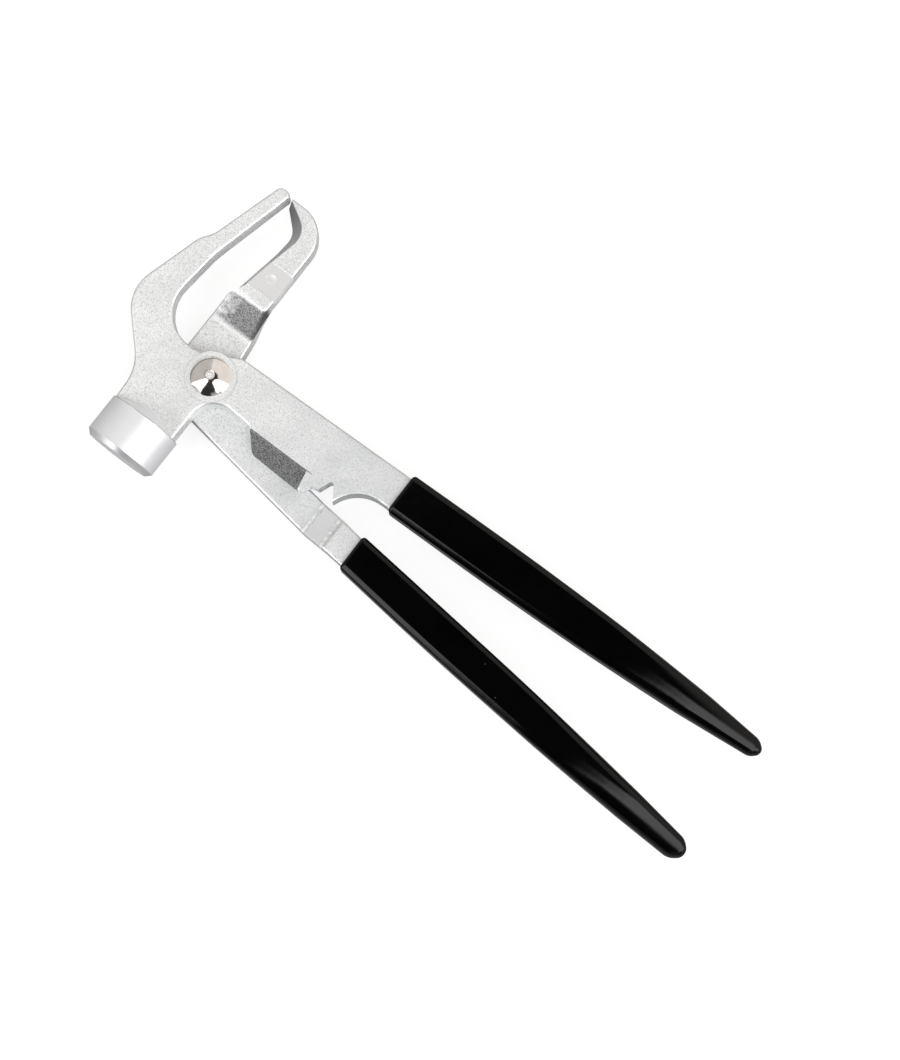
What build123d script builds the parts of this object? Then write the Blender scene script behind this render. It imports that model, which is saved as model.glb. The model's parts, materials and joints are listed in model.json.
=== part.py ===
from build123d import *
import os

# Wheel-weight hammer pliers, in millimetres.
#
# Two drop forgings cross at one rivet. The front lever carries the straight-nosed jaw, the hammer
# head, the cutter and the claw notch. The back lever passes under it and is joggled forward at both
# ends, so that its hooked beak and its handle lie in the plane of the front lever.
#
# Layout frame: the rivet's axis is Z, +X runs along the front lever's arm to the handles, +Y points
# to the jaws, and z = 0 is the back face of the front lever. The last step moves the tool so that
# the origin is the bottom centre of its box.

# ---- driving dimensions ---------------------------------------------------------------------------
PLATE = 6.4            # thickness of both forgings
LAP_GAP = 0.2          # clearance between the levers where they cross
EDGE_ROUND = 0.9       # rounding along the front edges of both forgings
EDGE_BEVEL = 0.6       # and the bevel where the flash was trimmed along their back edges
MID = PLATE / 2        # height of the front lever's middle plane
LAP_TOP = -LAP_GAP             # front face of the back lever at the rivet
LAP_BOTTOM = LAP_TOP - PLATE   # its back face there

HAMMER_RADIUS = 12.3   # striking head, turned on the forging
HAMMER_X = -8.6        # axis of the head, square to the arm
HAMMER_FACE_Y = -37.0
HAMMER_SHOULDER_Y = -22.9
HAMMER_CHAMFER = 1.6
HAMMER_ROOT = (3.0, -19.4)     # radius and y where the turned cone meets the plate
HAMMER_STEM_Y = -17.0          # the cone's core ends inside the plate

SHANK_RADIUS = 3.95    # rivet shank, pressed in the front lever
BORE_CLEARANCE = 0.05  # running fit in the back lever, on the radius
DOME_RADIUS = 6.35     # domed rivet head
DOME_HEIGHT = 3.0
DOME_RIM = 0.5
DIMPLE_RADIUS = 0.9    # turning centre in the dome
DIMPLE_DEPTH = 0.35
BUTTON_RADIUS = 6.0    # rear end, pressed flat
BUTTON_HEIGHT = 1.5
BUTTON_CHAMFER = 0.9
BOSS_RADIUS = 8.25     # raised spot round the rivet head
BOSS_HEIGHT = 0.3

BLADE_TOP_Y = -5.35    # where the cutter's ground face starts, on the front face
BLADE_EDGE_Y = -11.9   # its cutting edge, on the back face
BLADE_LAND = 0.35      # blunt land left on the edge
BLADE_START_X = 10.0           # the wheel comes in from the open side of the arch
BLADE_END_X = (42.2, 43.8)     # and runs out here, at the top and at the edge
BLADE_OVERRUN = 2.0            # how far it passes the top and the edge

JAW_JOGGLE = (17.0, 27.0)      # y where the back lever's jaw starts and stops climbing
TANG_JOGGLE = (51.0, 61.0)     # x where its handle side does the same
JOGGLE_BEND = 4.0              # radius of the four bends
SPLIT_Y = 5.0                  # the jaw side of the back lever lies above this line

CLAW_X = (18.0, 57.0)          # the front lever's edges stay sharp along the cutter and the claw,
CLAW_Y = -1.0                  # which lie below this line,
NECK_Y = -18.0                 # and where the hammer head joins
HOOK_X = -5.5                  # the back lever's stay sharp on the beak's ground side,
HOOK_Y = 20.0
SHEAR_X = (18.0, 46.0)         # and where the cutter's edge passes over it
SHEAR_Y = -10.0

SPOT_Y = (31.0, 41.0)  # flat ground across the beak for the hardness test
SPOT_DEPTH = 0.35
DENT_AT = (-4.3, 36.4)
DENT_RADIUS = 1.7
DENT_DEPTH = 0.25

OVERCUT = 0.01         # how far the beak's grinding overruns its front face
REACH = 80.0           # longer than anything a cutting tool has to pass through

FRONT_MOUTH_X = 69.8   # where the dipped sleeves start on the two tangs
BACK_MOUTH_X = 68.8
GRIP_TIP_X = 205.9
GRIP_THICKNESS = 9.6
GRIP_TIP_THICKNESS = 5.4
GRIP_TAPER_X = 165.0   # where they start to thin
GRIP_BORDER = 2.3      # rounding all along a grip's border
GRIP_LIP = 1.1         # rounding of its mouth

TANG_NECK_X = 76.0     # the levers' full section ends just inside the grips
TANG_END_X = 188.0
TANG_STEP = 0.3        # the bars beyond are this much thinner on each side

PIVOT = (-84.4, -12.8, 9.1)    # the rivet's axis on the front lever's back face, in the final frame

# ---- outlines: (x, y, corner radius) --------------------------------------------------------------
FRONT_JAW = [
    (-28.1, 37.4, 9.0),
    (-20.6, 62.9, 2.4),
    (-16.0, 62.2, 1.6),
    (-23.6, 32.0, 40.0),
    (-26.3, 4.1, 13.0),
    (-8.3, 4.0, 8.0),
    (4.0, 10.7, 1.5),
]
FRONT_ARM = [
    (67.0, 12.0, 0.0),
    (TANG_NECK_X, 12.2, 0.0),
    (TANG_NECK_X, 0.4, 0.0),
]
CLAW_AND_CUTTER = [
    (58.0, 0.2, 12.6),
    (54.7, -8.7, 0.0),
    (50.8, -2.6, 0.9),
    (48.7, -8.0, 0.3),
    (46.3, -8.2, 1.2),
    (43.8, BLADE_EDGE_Y, 0.0),
    (24.4, -11.2, 2.6),
    (19.4, -5.0, 3.0),
    (2.6, -4.0, 8.6),
]
HAMMER_NECK = [
    (2.6, -24.0, 0.0),
    (-20.0, -24.0, 0.0),
    (-20.6, -11.6, 16.0),
    (-38.7, 7.1, 14.0),
    (-31.0, 33.6, 7.0),
]

BACK_NECK = [
    (-14.2, 17.0, 20.0),
    (-14.2, -14.4, 13.6),
    (1.0, -13.8, 6.0),
    (52.0, -21.2, 60.0),
]
BACK_ARM = [
    (TANG_NECK_X, -23.4, 0.0),
    (TANG_NECK_X, -13.3, 0.0),
    (47.0, -9.1, 60.0),
]
BACK_SHEAR = [
    (16.5, -4.4, 8.0),
    (12.8, 7.0, 7.0),
    (2.8, 9.2, 4.0),
    (0.9, 25.0, 20.0),
]
BEAK = [
    (0.9, 61.4, 11.5),
    (-15.4, 61.5, 0.0),
    (-15.5, 59.2, 0.0),
    (-8.9, 53.0, 6.0),
    (-9.3, 45.8, 30.0),
    (-12.3, 29.0, 12.0),
]

# The beak is ground hollow from its front face to an edge on its back face, like the cutter.
HOLLOW_AT_EDGE = [
    (-15.4, 64.0, 0.0),
    (-15.5, 59.2, 0.0),
    (-8.9, 53.0, 6.0),
    (-9.3, 45.8, 30.0),
    (-12.3, 29.0, 12.0),
]
HOLLOW_AT_FRONT = [
    (-15.0, 64.0, 0.0),
    (-15.0, 61.0, 0.0),
    (-4.4, 54.8, 7.0),
    (-7.3, 42.0, 20.0),
    (-9.6, 30.0, 8.0),
]
HOLLOW_CLEARANCE = [
    (-14.2, 22.0, 0.0),
    (-40.0, 22.0, 0.0),
    (-40.0, 64.0, 0.0),
]

# Bars of the tangs that the grips hide.
FRONT_TANG = [
    (TANG_NECK_X - 1, 11.3, 0.0),
    (118.0, 12.5, 0.0),
    (TANG_END_X, 11.2, 2.2),
    (TANG_END_X, 6.3, 2.2),
    (118.0, 2.5, 0.0),
    (TANG_NECK_X - 1, 1.3, 0.0),
]
BACK_TANG = [
    (TANG_NECK_X - 1, -14.2, 0.0),
    (118.0, -17.9, 0.0),
    (TANG_END_X, -26.3, 2.2),
    (TANG_END_X, -31.4, 2.2),
    (118.0, -26.4, 0.0),
    (TANG_NECK_X - 1, -22.4, 0.0),
]

# The dipped grips, seen from the front and from the side. The side view is half of a symmetric one.
FRONT_GRIP = [
    (FRONT_MOUTH_X, -0.6, 0.0),
    (FRONT_MOUTH_X, 13.5, 0.0),
    (112.0, 14.5, 1400.0),
    (150.0, 14.4, 450.0),
    (183.0, 13.3, 60.0),
    (203.4, 11.8, 5.0),
    (206.8, 8.75, 2.2),
    (203.6, 5.7, 4.0),
    (178.0, 3.25, 60.0),
    (145.0, 1.25, 1000.0),
    (108.0, -0.1, 1400.0),
]
BACK_GRIP = [
    (BACK_MOUTH_X, -23.75, 0.0),
    (BACK_MOUTH_X, -11.1, 0.0),
    (140.0, -18.0, 1400.0),
    (183.0, -23.35, 60.0),
    (202.6, -26.15, 5.0),
    (206.6, -30.2, 3.0),
    (201.8, -33.95, 5.0),
    (182.0, -33.25, 60.0),
    (150.0, -31.35, 1000.0),
    (105.0, -27.7, 1400.0),
]
GRIP_SIDE = [
    (BACK_MOUTH_X - 1, GRIP_THICKNESS / 2, 0.0),
    (GRIP_TAPER_X, GRIP_THICKNESS / 2, 0.0),
    (GRIP_TIP_X + 1, GRIP_TIP_THICKNESS / 2, 0.0),
]


# ---- helpers --------------------------------------------------------------------------------------
def outline(corners):
    """Flat face with straight sides, each corner rounded by its own radius."""
    points = [(x, y) for x, y, r in corners]
    radii = [r for x, y, r in corners]
    return make_face(FilletPolyline(*points, radius=radii, close=True))


def slab(corners, bottom, top):
    """The outline as a plate between two heights."""
    return Pos(0, 0, bottom) * extrude(outline(corners), top - bottom, dir=(0, 0, 1))


def tang_bar(corners):
    """Plain bar that a grip hides, a little thinner than the lever it continues."""
    return slab(corners, TANG_STEP, PLATE - TANG_STEP)


def ball_radius(rim, rise):
    """Radius of the ball whose cap has this rim and this height."""
    return (rim**2 + rise**2) / (2 * rise)


def rim_edges(part, side, stays_sharp):
    """Edges of the walls with the front (side 1) or back (-1) faces, but for those that stay sharp."""
    broad = part.faces().filter_by(lambda face: side * face.normal_at(face.center()).Z > 0.8)
    walls = part.faces().filter_by(lambda face: abs(face.normal_at(face.center()).Z) < 0.05)
    shared = broad.edges() & walls.edges()
    return shared.filter_by(lambda edge: not stays_sharp(edge.center()))


def dressed_forging(blank, stays_sharp):
    """Rounds the front edges of a forging and bevels its back ones."""
    rounded = fillet(rim_edges(blank, 1, stays_sharp), EDGE_ROUND)
    return chamfer(rim_edges(rounded, -1, stays_sharp), EDGE_BEVEL)


# ---- front lever ----------------------------------------------------------------------------------
def hammer_head():
    """Turned head: flat face, chamfer, cylinder and a low cone that runs back into the plate."""
    root_radius, root_y = HAMMER_ROOT
    profile = Polyline(
        (0, HAMMER_FACE_Y),
        (HAMMER_RADIUS - HAMMER_CHAMFER, HAMMER_FACE_Y),
        (HAMMER_RADIUS, HAMMER_FACE_Y + HAMMER_CHAMFER),
        (HAMMER_RADIUS, HAMMER_SHOULDER_Y),
        (root_radius, root_y),
        (0, HAMMER_STEM_Y),
        close=True,
    )
    turned = revolve(make_face(profile), Axis.Y)
    return Pos(HAMMER_X, 0, MID) * turned


def cutter_grind():
    """Wedge that the grinding wheel takes off the front lever above its cutting edge."""
    rise = (PLATE - BLADE_LAND) / (BLADE_TOP_Y - BLADE_EDGE_Y)
    top_y = BLADE_TOP_Y + BLADE_OVERRUN
    edge_y = BLADE_EDGE_Y - BLADE_OVERRUN
    wedge = Polyline(
        (top_y, PLATE + BLADE_OVERRUN * rise),
        (edge_y, PLATE + BLADE_OVERRUN * rise),
        (edge_y, BLADE_LAND - BLADE_OVERRUN * rise),
        close=True,
    )
    wheel = extrude(Plane.YZ * make_face(wedge), REACH, both=True)
    run_out = [
        (BLADE_START_X, top_y, 0.0),
        (BLADE_END_X[0], top_y, 0.0),
        (BLADE_END_X[0], BLADE_TOP_Y, 1.0),
        (BLADE_END_X[1], edge_y, 0.0),
        (BLADE_START_X, edge_y, 0.0),
    ]
    return wheel & slab(run_out, -REACH, REACH)


def front_stays_sharp(at):
    """The cutter, the claw, the plate under the hammer head and the end inside the grip."""
    working = CLAW_X[0] < at.X < CLAW_X[1] and at.Y < CLAW_Y
    return working or at.Y < NECK_Y or at.X > TANG_NECK_X - OVERCUT


def front_lever():
    plate = slab(FRONT_JAW + FRONT_ARM + CLAW_AND_CUTTER + HAMMER_NECK, 0, PLATE)
    plate = dressed_forging(plate, front_stays_sharp)
    boss = Pos(0, 0, PLATE) * Cylinder(BOSS_RADIUS, 2 * BOSS_HEIGHT)
    bore = Cylinder(SHANK_RADIUS, REACH)
    return plate + tang_bar(FRONT_TANG) + boss + hammer_head() - cutter_grind() - bore


# ---- back lever -----------------------------------------------------------------------------------
def joggled_side(start, joggle, stop):
    """Side view of the back lever: level with the lap, then climbing to the front lever's plane.

    The lower bends come later than the upper ones, so that the wall keeps its thickness.
    """
    foot, crest = joggle
    slope = (PLATE - LAP_TOP) / (crest - foot)
    lag = PLATE * ((1 + slope**2) ** 0.5 - 1) / slope
    return outline([
        (start, LAP_TOP, 0.0),
        (foot, LAP_TOP, JOGGLE_BEND),
        (crest, PLATE, JOGGLE_BEND),
        (stop, PLATE, 0.0),
        (stop, 0.0, 0.0),
        (crest + lag, 0.0, JOGGLE_BEND),
        (foot + lag, LAP_BOTTOM, JOGGLE_BEND),
        (start, LAP_BOTTOM, 0.0),
    ])


def beak_hollow():
    """What the wheel takes out of the beak: no wider than the edge behind, opening to the front."""
    at_edge = Pos(0, 0, BLADE_LAND) * outline(HOLLOW_AT_EDGE + HOLLOW_CLEARANCE)
    at_front = Pos(0, 0, PLATE + OVERCUT) * outline(HOLLOW_AT_FRONT + HOLLOW_CLEARANCE)
    return loft([at_edge, at_front], ruled=True)


def hardness_spot():
    """Flat ground across the beak, with the small round dent of the hardness test."""
    low, high = SPOT_Y
    flat = Pos(0, (low + high) / 2, PLATE) * Box(REACH, high - low, 2 * SPOT_DEPTH)
    ball = ball_radius(DENT_RADIUS, DENT_DEPTH)
    dent = Pos(*DENT_AT, PLATE - SPOT_DEPTH - DENT_DEPTH + ball) * Sphere(ball)
    return flat + dent


def back_stays_sharp(at):
    """The beak's ground side, the face that the cutter closes on and the end inside the grip."""
    hook = at.Y > HOOK_Y and at.X < HOOK_X
    shear = SHEAR_X[0] < at.X < SHEAR_X[1] and at.Y > SHEAR_Y
    return hook or shear or at.X > TANG_NECK_X - OVERCUT


def back_lever():
    blank = slab(BACK_NECK + BACK_ARM + BACK_SHEAR + BEAK, LAP_BOTTOM, PLATE)
    jaw_side = extrude(Plane.YZ * joggled_side(SPLIT_Y, JAW_JOGGLE, REACH), REACH, both=True)
    tang_side = extrude(Plane.XZ.offset(-SPLIT_Y) * joggled_side(-REACH, TANG_JOGGLE, REACH), REACH)
    forging = blank & (jaw_side + tang_side)
    forging = dressed_forging(forging, back_stays_sharp)
    bore = Cylinder(SHANK_RADIUS + BORE_CLEARANCE, REACH)
    return forging + tang_bar(BACK_TANG) - beak_hollow() - hardness_spot() - bore


# ---- rivet and grips ------------------------------------------------------------------------------
def domed_disc(radius, rim, height):
    """Low disc closed by a part of a ball."""
    ball = ball_radius(radius, height - rim)
    return extrude(Circle(radius), height) & (Pos(0, 0, height - ball) * Sphere(ball))


def pivot_rivet():
    """Domed head with its turning centre, shank, and the flattened end behind."""
    seat = PLATE + BOSS_HEIGHT
    rear = LAP_BOTTOM - BORE_CLEARANCE
    head = Pos(0, 0, seat) * domed_disc(DOME_RADIUS, DOME_RIM, DOME_HEIGHT)
    shank = Pos(0, 0, rear) * extrude(Circle(SHANK_RADIUS), seat - rear)
    button = Pos(0, 0, rear) * extrude(Circle(BUTTON_RADIUS), -BUTTON_HEIGHT)
    button = chamfer(button.edges().sort_by(Axis.Z)[0], BUTTON_CHAMFER)
    dimple = Pos(0, 0, seat + DOME_HEIGHT) * Cone(0, DIMPLE_RADIUS, 2 * DIMPLE_DEPTH)
    return head + shank + button - dimple


def at_mouth(at):
    """Edges of a grip's open end, which are rounded after its border."""
    return at.X < FRONT_MOUTH_X + 1


def dipped_grip(plan, tang):
    """Sleeve with flat faces and a round border, thinner at its tip, hollow where the tang fills it."""
    mirrored = [(x, -z, r) for x, z, r in reversed(GRIP_SIDE)]
    side = Pos(0, 0, MID) * extrude(Plane.XZ * outline(GRIP_SIDE + mirrored), REACH, both=True)
    sleeve = slab(plan, -REACH, REACH) & side
    border = rim_edges(sleeve, 1, at_mouth) + rim_edges(sleeve, -1, at_mouth)
    sleeve = fillet(border, GRIP_BORDER)
    mouth = sleeve.faces().sort_by(Axis.X)[0]
    sleeve = fillet(mouth.edges(), GRIP_LIP)
    return sleeve - tang


# ---- assembly -------------------------------------------------------------------------------------
def build():
    front = front_lever()
    back = back_lever()
    return {
        "front_lever": front,
        "back_lever": back,
        "pivot_rivet": pivot_rivet(),
        "front_grip": dipped_grip(FRONT_GRIP, front),
        "back_grip": dipped_grip(BACK_GRIP, back),
    }


os.makedirs("parts", exist_ok=True)
for name, piece in build().items():
    export_step(Pos(*PIVOT) * piece, f"parts/{name}.step")
    print(name, piece.is_valid, round(piece.volume), piece.bounding_box())
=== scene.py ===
import json
import math

import bpy
from mathutils import Matrix, Vector

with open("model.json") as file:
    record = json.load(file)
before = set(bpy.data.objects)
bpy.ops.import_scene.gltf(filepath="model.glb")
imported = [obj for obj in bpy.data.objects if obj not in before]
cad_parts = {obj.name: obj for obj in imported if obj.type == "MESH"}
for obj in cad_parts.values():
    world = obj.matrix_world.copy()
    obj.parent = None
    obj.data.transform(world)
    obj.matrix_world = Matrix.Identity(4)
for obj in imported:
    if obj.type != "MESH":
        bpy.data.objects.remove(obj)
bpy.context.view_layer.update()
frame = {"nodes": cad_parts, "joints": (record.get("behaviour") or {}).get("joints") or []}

# Everything is placed from the rivet's axis: +X along the front lever's arm to the handles, +Y to
# the jaws, +Z to the rivet's domed head, with z = 0 at the back of the front lever. Sizes are in mm
# and are turned to metres where Blender needs them.
MM = 0.001
PIVOT = Vector(frame["joints"][0]["pos_m"])

# Both levers
PLATE = 6.4                    # their thickness, and so the z of their front faces
LAP_GAP = 0.2                  # between the faces that lap at the rivet
EDGE_ROLL = (0.12, 0.70)       # depths below a face between which its rolled edge is rubbed
BOSS_RADIUS = 8.25             # raised spot round the rivet's head
DIMPLE_RADIUS = 1.45           # worn turning centre in the rivet's dome

# Hammer head of the front lever
HAMMER_FACE_Y = -37.0
HAMMER_CHAMFER = 1.6           # round the face
HAMMER_X = -8.6                # the head's axis
HAMMER_RADIUS = 12.3
LAND_Y = -22.9                 # the head's shoulder, where its cone starts
CONE_RISE = 3.5 / 9.3          # of y over the radius
SHOULDER_RADII = (11.9, 12.2)  # over which the painted shade line along the shoulder fades in

# Cutter of the front lever
CUTTER_X = (14.0, 44.2)
CUTTER_FOOT_Y = -12.5
CUTTER_TOP_Y = -5.35           # where its ground face leaves the front face
CUTTER_RISE = 6.05 / 6.55      # of z over y
CUTTER_SKIN = 0.2              # how near that plane a face counts as ground
RUN_OUT_X = (43.2, 47.0)       # sharp crest where the grind ends
RUN_OUT_TOP_Y = -7.0

# Back lever
SPOT_Y = (31.0, 41.0)          # flat ground across the beak
SPOT_Z = (3.0, 4.0)
HOLLOW_Y = (28.0, 60.8)        # the beak's hollow grind
HOLLOW_X = -7.0                # its limit at the foot of the beak
HOLLOW_SPREAD = 4.5            # how much further it reaches at the beak's end
HOLLOW_SPREAD_Y = (43.0, 50.0)
JAW_CLIMB_Y = (17.5, 28.0)     # joggle below the beak
JAW_WEAR_AND_SHADE_X = (-14.5, -4.5)     # over which its zinc gives way to ground steel, painted dark as shade
TANG_CLIMB_X = (54.2, 60.2)    # joggle before the grip
TANG_CRESTS_X = ((51.6, 52.4), (59.4, 60.3))

# Grips
FRONT_TIP_Y = 8.6              # middle of the front grip's tip
BACK_TIP_Y = -26.5             # and of the back grip's
TIP_ROUND_X = 140.0            # where the grips' faces start to fall towards their tips
TIP_CURVE = 0.0035             # slope they gain per mm from there
TIP_CREASE_X = 165.0           # where their straight taper starts, which the dip rounds over
TIP_FALL = 0.0513              # the taper's slope
TIP_CROWN = 0.030              # fall across the tips, in mm over the square of mm from their middle
TIP_CROWNED_X = 180.0          # from where the crown is full
TIP_FACE_Z = (3.2, 4.0)        # only the front halves are rounded

# ---- camera -------------------------------------------------------------------------------------
CAMERA_AT = PIVOT + Vector((144.3, -67.0, 586.4)) * MM
CAMERA_TURN = math.radians(37)     # the arm runs this far below the view's horizontal
CAMERA_TILT = math.radians(9)      # off straight down
FOCAL_SHARE = 1900 / 1060          # focal length over the sensor's long side
SENSOR = 36.0


def view_axes():
    """The camera's right, up and back directions."""
    turn_cos, turn_sin = math.cos(CAMERA_TURN), math.sin(CAMERA_TURN)
    tilt_cos, tilt_sin = math.cos(CAMERA_TILT), math.sin(CAMERA_TILT)
    right = Vector((turn_cos, turn_sin, 0))
    up = Vector((-turn_sin * tilt_cos, turn_cos * tilt_cos, tilt_sin))
    return right, up, right.cross(up)


def add_camera():
    data = bpy.data.cameras.new("studio_camera")
    data.sensor_fit = "VERTICAL"
    data.sensor_height = SENSOR
    data.sensor_width = SENSOR
    data.lens = SENSOR * FOCAL_SHARE
    data.clip_start = 0.01
    data.clip_end = 20
    camera = bpy.data.objects.new("studio_camera", data)
    bpy.context.scene.collection.objects.link(camera)
    camera.matrix_world = Matrix.Translation(CAMERA_AT) @ Matrix(view_axes()).transposed().to_4x4()
    bpy.context.scene.camera = camera


# ---- shader maths -------------------------------------------------------------------------------
class Field:
    """One socket of a node tree. Python's operators on it add Math nodes."""

    def __init__(self, tree, socket=None):
        self.tree = tree
        self.socket = socket

    def node(self, kind, sockets=None, output=0, **settings):
        """Adds a node: its settings first, then the values or links of its sockets."""
        made = self.tree.nodes.new("ShaderNode" + kind)
        for key, value in settings.items():
            setattr(made, key, value)
        for key, value in (sockets or {}).items():
            if isinstance(value, Field):
                self.tree.links.new(value.socket, made.inputs[key])
            else:
                made.inputs[key].default_value = value
        return Field(self.tree, made.outputs[output])

    def math(self, operation, *operands):
        return self.node("Math", dict(enumerate(operands)), operation=operation)

    def __add__(self, other):
        return self.math("ADD", self, other)

    def __radd__(self, other):
        return self.math("ADD", other, self)

    def __sub__(self, other):
        return self.math("SUBTRACT", self, other)

    def __rsub__(self, other):
        return self.math("SUBTRACT", other, self)

    def __mul__(self, other):
        return self.math("MULTIPLY", self, other)

    def __rmul__(self, other):
        return self.math("MULTIPLY", other, self)

    def __pow__(self, other):
        return self.math("POWER", self, other)

    def step(self, low, high):
        """0 below low, 1 above high, smooth between."""
        sockets = {"Value": self, "From Min": low, "From Max": high}
        return self.node("MapRange", sockets, interpolation_type="SMOOTHSTEP")

    def within(self, low, high, soft):
        """1 between low and high, fading over soft at both ends."""
        return self.step(low - soft, low + soft) * (1 - self.step(high - soft, high + soft))

    def mix(self, low, high):
        """Blend of two colours by this field. Each is a Field or a tuple."""
        sockets = {0: self}
        for index, colour in ((6, low), (7, high)):
            sockets[index] = colour if isinstance(colour, Field) else (*colour, 1)
        return self.node("Mix", sockets, output=2, data_type="RGBA")


def new_material(name, **constants):
    """A Principled material, its tree and its shader. Constants go on the shader's own sockets."""
    material = bpy.data.materials.new(name)
    material.use_nodes = True
    shader = material.node_tree.nodes["Principled BSDF"]
    for key, value in constants.items():
        shader.inputs[key.replace("_", " ")].default_value = value
    return material, Field(material.node_tree), shader


def drive(shader, **fields):
    """Links fields to a shader's sockets."""
    for key, field in fields.items():
        field.tree.links.new(field.socket, shader.inputs[key.replace("_", " ")])


def place_in_mm(tree):
    """Position from the rivet's axis in mm, as a vector and as its three numbers."""
    spot = tree.node("TexCoord", output="Object")
    offset = tree.node("VectorMath", {0: spot, 1: PIVOT}, operation="SUBTRACT")
    place = tree.node("VectorMath", {0: offset, "Scale": 1 / MM}, operation="SCALE")
    outputs = tree.node("SeparateXYZ", {0: place}).socket.node.outputs
    return place, [Field(tree.tree, outputs[i]) for i in range(3)]


def noise(tree, place, size, detail=2.0, roughness=0.5):
    """Noise with features about size mm across, around 0.5."""
    sockets = {"Vector": place, "Scale": 1 / size, "Detail": detail, "Roughness": roughness}
    return tree.node("TexNoise", sockets)


def pits(tree, place, spacing, low, high):
    """1 in small round spots scattered about spacing mm apart, low to high from their middles."""
    cells = tree.node("TexVoronoi", {"Vector": place, "Scale": 1 / spacing})
    return 1 - cells.step(low, high)


def bump(tree, height, depth):
    """A normal from a height of 0 to 1 that stands for a depth in mm."""
    return tree.node("Bump", {"Height": height, "Distance": depth * MM, "Strength": 1.0})


def either(first, *others):
    """The largest of several masks."""
    for other in others:
        first = first.math("MAXIMUM", first, other)
    return first


# ---- materials ----------------------------------------------------------------------------------
def zinc(name, areas):
    """Satin zinc plating over a forged skin.

    areas takes the tree, the place and its x, y and z, and gives five masks: satin, where it was
    turned or ground before plating; ground after plating, whose near black colour is painted shade;
    rubbed, along the rolled edges; painted highlights on sharp crests, with paler flats; and
    painted shade, dark lines in creases and along steps.
    """
    material, tree, shader = new_material(name)
    place, (x, y, z) = place_in_mm(tree)
    satin, bare_and_painted_shade, rubbed, crest_highlight_and_pale, painted_crease_shade = areas(tree, place, x, y, z)
    rough_skin = 1 - either(satin, bare_and_painted_shade * 0.6)
    grain = noise(tree, place, 0.42, 2.0, 0.7)
    fibre = noise(tree, place, 1.6, 4.0, 0.6)
    cloud = noise(tree, place, 12.0, 4.0)
    specks = pits(tree, place, 3.2, 0.02, 0.09) * rough_skin
    # Random cloudy tone, plus a painted reflection: the plating is lighter towards low x, at the
    # hammer head and the beak, standing in for reflected light.
    cloud_and_painted_sheen = cloud.step(0.30, 0.70) * 0.4 + 0.6 * (1 - x.step(-5, 45))
    bright = cloud_and_painted_sheen.mix((0.75, 0.77, 0.775), (0.98, 0.99, 0.985))
    grained = grain.step(0.28, 0.56).mix((0.58, 0.60, 0.61), bright)
    lined = (fibre.within(0.485, 0.515, 0.012) * 0.25).mix(grained, (0.45, 0.46, 0.47))
    smoothed = (satin * 0.9).mix(lined, (0.87, 0.875, 0.90))
    # Faces ground after plating get a near black colour: painted shade on faces turned from the
    # light, over real scratches and grain.
    coarse = either(grain.step(0.35, 0.65), satin * 0.8)
    scratched_painted_shade = coarse.mix((0.02, 0.02, 0.021), (0.26, 0.26, 0.26))
    ground = (bare_and_painted_shade * 0.95).mix(smoothed, scratched_painted_shade)
    # Painted highlights on crests, and paler flats.
    with_highlights_and_pale = crest_highlight_and_pale.mix(ground, (0.98, 0.98, 0.97))
    # Dark pits, and painted shade along creases.
    coloured = either(specks * 0.6, painted_crease_shade).mix(with_highlights_and_pale, (0.14, 0.14, 0.15))
    metallic = 0.50 + 0.50 * either(bare_and_painted_shade, rubbed * 0.6) - 0.40 * crest_highlight_and_pale
    rough = 0.42 + 0.14 * grain + 0.08 * cloud - 0.14 * rubbed - 0.05 * satin
    turned_at = tree.node("CombineXYZ", {0: y, 1: off_axis(x, z)})
    turning = noise(tree, turned_at, 0.7, 3.0) * satin
    forged = (0.55 * grain + 0.45 * fibre - 0.5 * specks) * (rough_skin * 0.92 + 0.08)
    drive(
        shader,
        Base_Color=coloured,
        Metallic=tree.math("MINIMUM", metallic, 1.0),
        Roughness=rough,
        Normal=bump(tree, forged + 0.12 * turning, 0.12),
    )
    return material


def off_axis(x, z):
    """Distance from the hammer head's axis."""
    return ((x - HAMMER_X) ** 2.0 + (z - PLATE / 2) ** 2.0) ** 0.5


def rolled_edge(z, face_z):
    """1 down the rolled edge of a face at face_z."""
    return z.within(face_z - EDGE_ROLL[1], face_z - EDGE_ROLL[0], 0.04)


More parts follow.
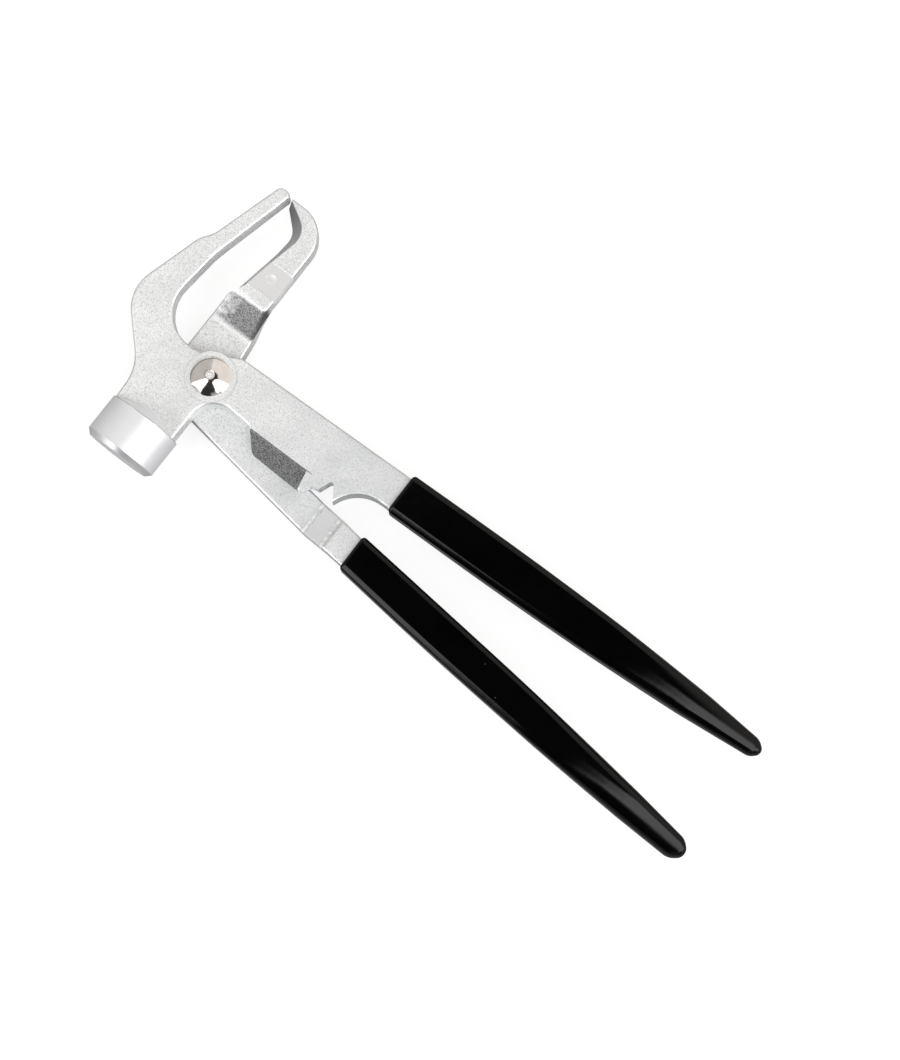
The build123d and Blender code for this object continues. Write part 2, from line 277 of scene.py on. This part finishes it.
def front_areas(tree, place, x, y, z):
    """The front lever's masks.

    The hammer head with its cone is satin; the cutter is ground after plating and painted near
    black as shade; the rims are rubbed; painted highlights lie on the crest of the cutter's
    run-out; and painted shade darkens lines along the head's shoulder and round the edge of the
    rivet's boss.
    """
    radius = off_axis(x, z)
    past_cone = y - LAND_Y - (HAMMER_RADIUS - radius) * CONE_RISE
    head = 1 - past_cone.step(0.1, 0.4)
    # The cutter's face, ground after plating: its near black colour is painted shade.
    above_grind = z - PLATE - (y - CUTTER_TOP_Y) * CUTTER_RISE
    on_grind = above_grind.within(-CUTTER_SKIN, CUTTER_SKIN, 0.05)
    cutter = on_grind * x.within(*CUTTER_X, 0.1) * y.within(CUTTER_FOOT_Y, CUTTER_TOP_Y, 0.05)
    chamfer_y = HAMMER_FACE_Y + HAMMER_CHAMFER
    chamfer = (1 - y.step(chamfer_y, chamfer_y + 0.2)) * y.step(HAMMER_FACE_Y, HAMMER_FACE_Y + 0.1)
    rim = either(rolled_edge(z, PLATE) * (1 - head), chamfer)
    # Painted highlights: patchy near white glints on the crest where the grind runs out.
    run_out = x.within(*RUN_OUT_X, 0.4) * y.within(CUTTER_FOOT_Y, RUN_OUT_TOP_Y, 0.3)
    crest = run_out * z.within(0.3, PLATE - 0.1, 0.1) * noise(tree, place, 0.9).step(0.45, 0.55)
    # Painted shade: patchy dark lines in the crease at the head's shoulder, and faint ones round
    # the foot of the rivet's boss.
    shoulder = y.within(LAND_Y - 0.12, LAND_Y + 0.1, 0.06) * radius.step(*SHOULDER_RADII)
    ring = (x * x + y * y) ** 0.5
    on_front = z.step(PLATE - 0.2, PLATE - 0.1)
    boss = ring.within(BOSS_RADIUS - 0.1, BOSS_RADIUS + 0.1, 0.12) * on_front
    shoulder_and_boss_shade = either(shoulder * noise(tree, place, 2.5).step(0.25, 0.5) * 0.8, boss * 0.25)
    return head, cutter, rim, crest, shoulder_and_boss_shade


def back_areas(tree, place, x, y, z):
    """The back lever's masks.

    The flat across the beak, the tang's joggle and the beak's hollow are satin; that hollow and the
    jaw's joggle are ground steel painted dark as shade, the hollow darker towards the beak's end;
    the rims are rubbed; painted highlights lie on the tang joggle's crests, and the flat is paler.
    """
    spot = y.within(*SPOT_Y, 0.3) * z.step(*SPOT_Z)
    edge = noise(tree, place, 2.2, 3.0)
    climb = (x + 2.4 * edge).within(*TANG_CLIMB_X, 0.3) * z.step(-1.0, 0.5) * 0.75
    inwards = x - HOLLOW_SPREAD * y.step(*HOLLOW_SPREAD_Y)
    inner_side = 1 - inwards.step(HOLLOW_X - 0.2, HOLLOW_X + 0.2)
    hollow = y.within(*HOLLOW_Y, 0.3) * inner_side * z.within(0.4, PLATE - 0.4, 0.03)
    # The jaw's joggle: worn steel showing through the zinc, its dark colour painted shade,
    # spreading in ragged patches towards higher x.
    wear_and_shade_edge = noise(tree, place, 3.5, 3.0).step(0.30, 0.70)
    slope = y.within(*JAW_CLIMB_Y, 1.2) * z.within(-0.1, PLATE - 0.3, 0.3)
    worn_slope_painted_shade = slope * (x + 5 * wear_and_shade_edge).step(*JAW_WEAR_AND_SHADE_X)
    rim = (rolled_edge(z, -LAP_GAP) + rolled_edge(z, PLATE)) * (1 - hollow)
    # Painted highlights: ragged near white lines on the tang joggle's crests; the flat across the
    # beak is also made paler.
    foot, top = TANG_CRESTS_X
    crests = x.within(*foot, 0.3) + x.within(*top, 0.3)
    ragged = noise(tree, place, 1.2, 3.0).step(0.40, 0.55)
    crest_highlight_and_pale = either(crests * ragged * z.step(-0.6, 0.2), spot * 0.7)
    # Painted shade in the beak's hollow, darker towards the beak's end.
    shaded = hollow * (0.35 + 0.5 * y.step(48, 60))
    no_crease_shade = 0 * x
    return either(spot, climb, hollow), either(shaded, worn_slope_painted_shade * 0.95), rim, crest_highlight_and_pale, no_crease_shade


def nickel():
    """Polished plate on the rivet: turning rings, ripples, haze, specks and a dull centre."""
    material, tree, shader = new_material("polished_nickel", Metallic=1.0)
    place, (x, y, _) = place_in_mm(tree)
    radius = (x * x + y * y) ** 0.5
    ring_at = tree.node("CombineXYZ", {0: radius})
    rings = tree.node("TexNoise", {"Vector": ring_at, "Scale": 2.2, "Detail": 2.0})
    ripple = noise(tree, place, 2.0)
    haze = noise(tree, place, 2.5)
    centre = 1 - (radius + 0.5 * ripple).step(DIMPLE_RADIUS, DIMPLE_RADIUS + 0.5)
    specks = pits(tree, place, 1.7, 0.03, 0.08)
    plate = haze.step(0.3, 0.7).mix((0.86, 0.83, 0.79), (0.93, 0.90, 0.87))
    tone = (specks * 0.6).mix(centre.mix(plate, (0.97, 0.96, 0.94)), (0.25, 0.24, 0.22))
    height = 0.35 * rings + 0.65 * ripple - 2.5 * centre
    rough = 0.06 + 0.07 * haze + 0.38 * centre
    drive(shader, Base_Color=tone, Roughness=rough, Normal=bump(tree, height, 0.05))
    return material


def dipped_vinyl(name, tip_y):
    """Glossy black dip: soft swells, very slight peel, dust specks and a tip that rounds off."""
    material, tree, shader = new_material(name, Specular_IOR_Level=0.25)
    place, (x, y, z) = place_in_mm(tree)
    swell = noise(tree, place, 14.0)
    peel = noise(tree, place, 1.6, 2.0)
    specks = pits(tree, place, 6.0, 0.012, 0.03)
    tone = swell.step(0.3, 0.7).mix((0.0004, 0.0004, 0.0004), (0.0009, 0.0009, 0.0009))
    speckled = specks.mix(tone, (0.12, 0.12, 0.12))
    rounding = tree.math("MAXIMUM", x - TIP_ROUND_X, 0.0)
    straight = tree.math("MAXIMUM", x - TIP_CREASE_X, 0.0)
    crown = (y - tip_y) * (y - tip_y) * TIP_CROWN * x.step(TIP_ROUND_X, TIP_CROWNED_X)
    fall = rounding * rounding * (TIP_CURVE / 2) - straight * TIP_FALL
    height = (0.9 * swell + 0.1 * peel) * 0.08 - (fall + crown) * z.step(*TIP_FACE_Z)
    rough = 0.07 + 0.07 * swell
    drive(shader, Base_Color=speckled, Roughness=rough, Normal=bump(tree, height, 1.0))
    return material


def dress(node, material):
    slots = frame["nodes"][node].data.materials
    slots.clear()
    slots.append(material)


def dress_frame():
    dress("front_lever", zinc("zinc_front_lever", front_areas))
    dress("back_lever", zinc("zinc_back_lever", back_areas))
    dress("pivot_rivet", nickel())
    dress("front_grip", dipped_vinyl("vinyl_front_grip", FRONT_TIP_Y))
    dress("back_grip", dipped_vinyl("vinyl_back_grip", BACK_TIP_Y))


# ---- studio -------------------------------------------------------------------------------------
FLOOR_RADIUS = 0.6     # m
FLOOR_GREY = (0.28, 0.28, 0.28, 1)
FLOOR_GLOW = 0.8

# Panels of light. Each has the bearings between which it stands, in degrees counterclockwise from
# the view's right, the angles off straight up between which it stands, and its radiance.
WALLS = (
    ((90, 187), (13, 88), 0.50),
    ((-20, 90), (27, 88), 0.82),
    ((344, 380), (27, 88), 0.82),
)
SOFTBOXES = (
    ((188, 224), (16, 86), 3.6),
    ((290, 344), (17, 60), 3.6),
    ((312, 344), (60, 84), 3.6),
    ((268, 312), (60, 80), 0.4),
)
PANEL_EDGE = 5         # degrees over which a panel fades
ROOM_LIGHT = 0.03      # everywhere, under the panels
WALL_TINT = (1.0, 0.95, 0.90)


def add_floor():
    """A small white table. It glows to the camera only, so that shadows on it stay faint."""
    bpy.ops.object.select_all(action="DESELECT")
    bpy.ops.mesh.primitive_circle_add(
        vertices=96, radius=FLOOR_RADIUS, fill_type="NGON", location=(0, 0, 0)
    )
    floor = bpy.context.active_object
    floor.name = "studio_floor"
    material, tree, shader = new_material(
        "white_table", Roughness=0.9, Base_Color=FLOOR_GREY, Emission_Color=(1, 1, 1, 1)
    )
    drive(shader, Emission_Strength=FLOOR_GLOW * tree.node("LightPath", output="Is Camera Ray"))
    floor.data.materials.append(material)


def along(tree, ray, way):
    """How far a ray points along a direction."""
    return tree.node("VectorMath", {0: ray, 1: way}, output="Value", operation="DOT_PRODUCT")


def light(bearing, off_zenith, panels):
    """The radiance of soft-edged panels, added up."""
    return sum(
        radiance * bearing.within(*bearings, PANEL_EDGE) * off_zenith.within(*heights, PANEL_EDGE)
        for bearings, heights, radiance in panels
    )


def add_world():
    """White to the camera. To all else: faintly warm walls of light and brighter softboxes."""
    world = bpy.data.worlds.new("studio")
    bpy.context.scene.world = world
    world.use_nodes = True
    tree = Field(world.node_tree)
    ray = tree.node("TexCoord", output="Generated")
    right = view_axes()[0]
    rightward = along(tree, ray, right)
    upward = along(tree, ray, Vector((-right.y, right.x, 0)))
    bearing = tree.math("ARCTAN2", 0 - upward, 0 - rightward) * math.degrees(1) + 180
    height = along(tree, ray, Vector((0, 0, 1)))
    off_zenith = tree.math("ARCCOSINE", height) * math.degrees(1)
    wall = light(bearing, off_zenith, WALLS)
    glow = wall + light(bearing, off_zenith, SOFTBOXES) + ROOM_LIGHT
    seen = tree.node("LightPath", output="Is Camera Ray")
    tint = (wall * 1.25).mix((1, 1, 1), WALL_TINT)
    drive(
        world.node_tree.nodes["Background"],
        Color=seen.mix(tint, (1, 1, 1)),
        Strength=tree.math("MAXIMUM", glow, seen),
    )


def add_studio():
    add_world()
    add_floor()
    bpy.context.scene.view_settings.view_transform = "Standard"


add_camera()
add_studio()
dress_frame()
